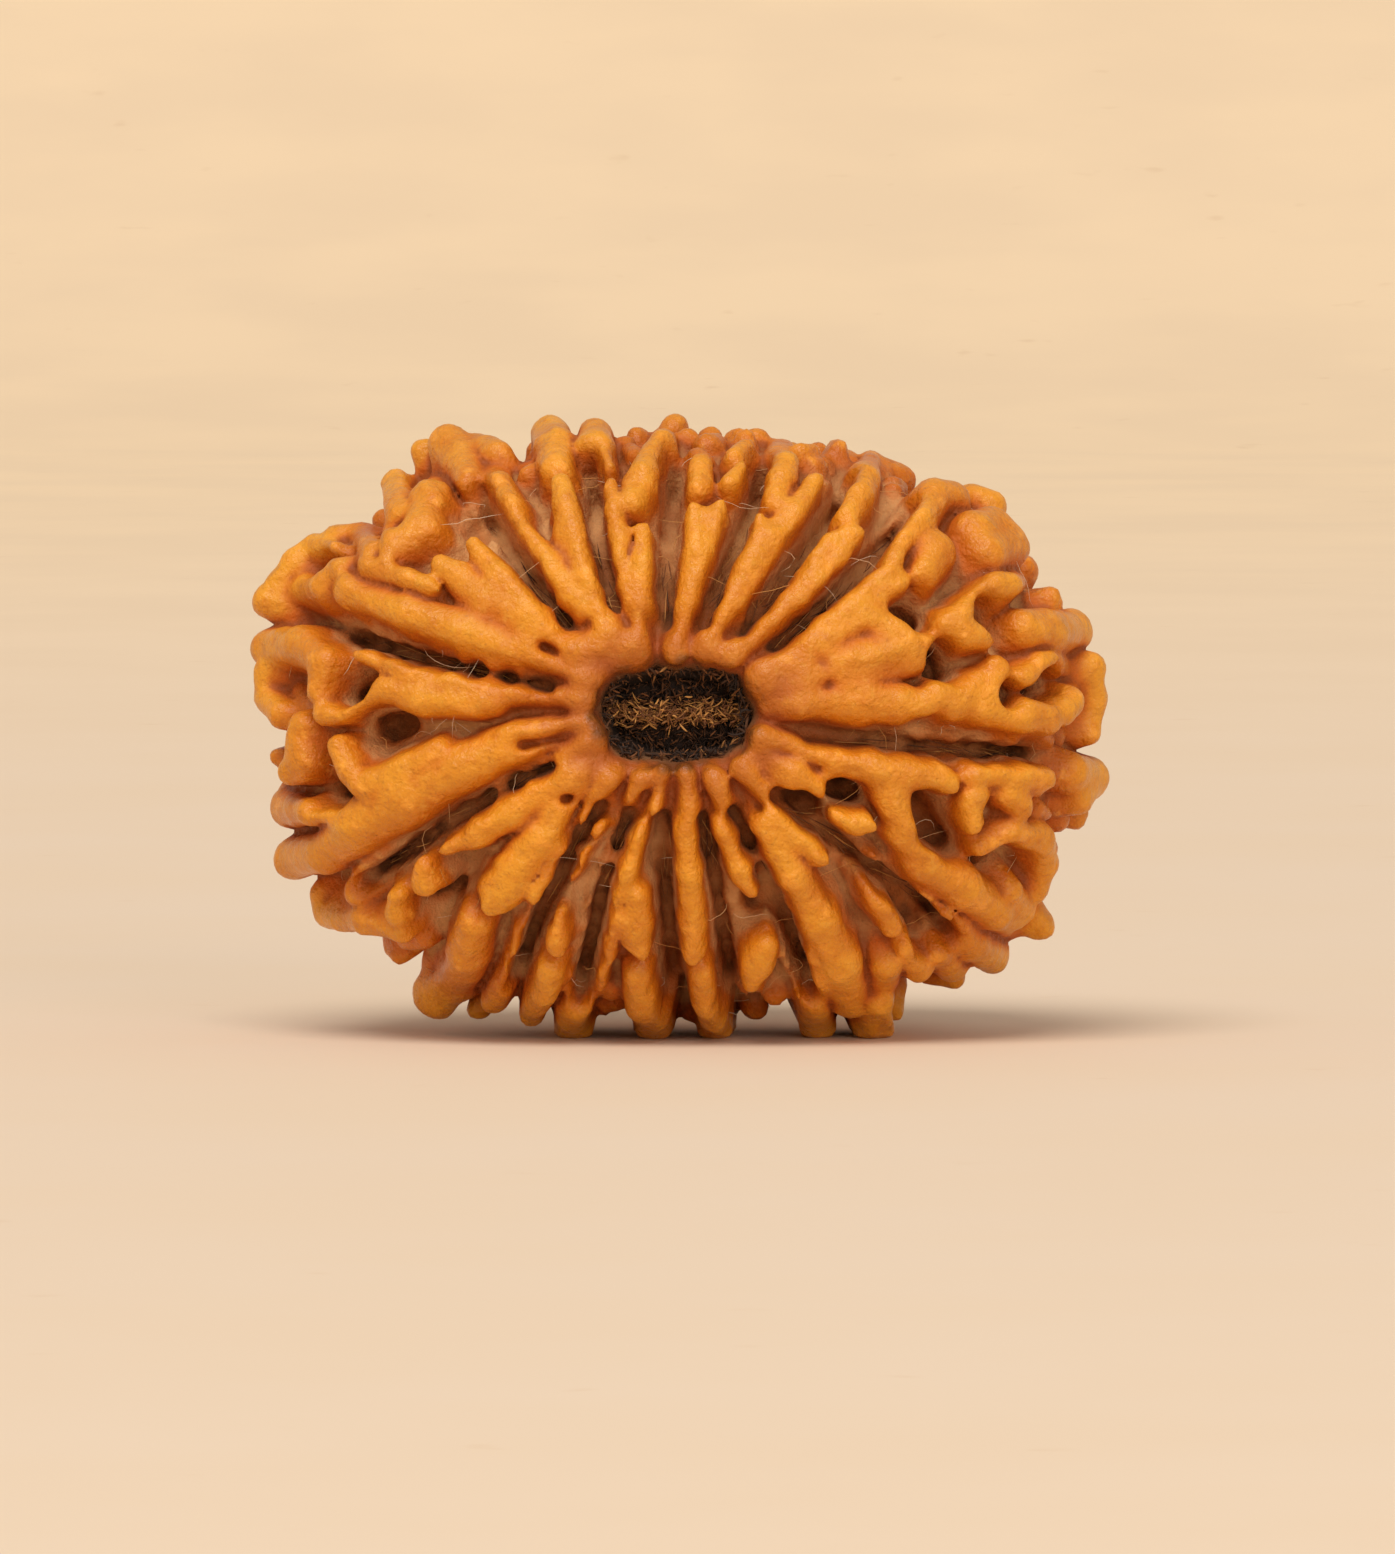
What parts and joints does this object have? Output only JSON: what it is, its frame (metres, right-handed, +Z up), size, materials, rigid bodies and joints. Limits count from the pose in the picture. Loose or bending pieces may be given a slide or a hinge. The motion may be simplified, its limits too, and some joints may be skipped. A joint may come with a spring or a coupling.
{
  "type": "rudraksha bead",
  "caption": "Dried rudraksha fruit stone with deep grooves running between knobbed, branching ridges and a fibre-filled mouth at each pole, lying on its girdle.",
  "frame": {"origin": "under the middle of the bead's box, on the surface that it lies on", "axes": "+X along the bead's longest extent, +Y from the front mouth to the back mouth, +Z up"},
  "size_m": [0.0312, 0.0186, 0.0226],
  "materials": {
    "stone": "dry and waxy-matte, orange-brown on the ridges, dusty pale brown in the valleys, dark brown in the grooves",
    "fibre": "matted dry plant fibre, dark brown with a golden-brown band"
  },
  "bodies": {
    "root": {"stone": "stone", "fibre_plug_front": "fibre", "fibre_plug_back": "fibre"}
  },
  "joints": []
}
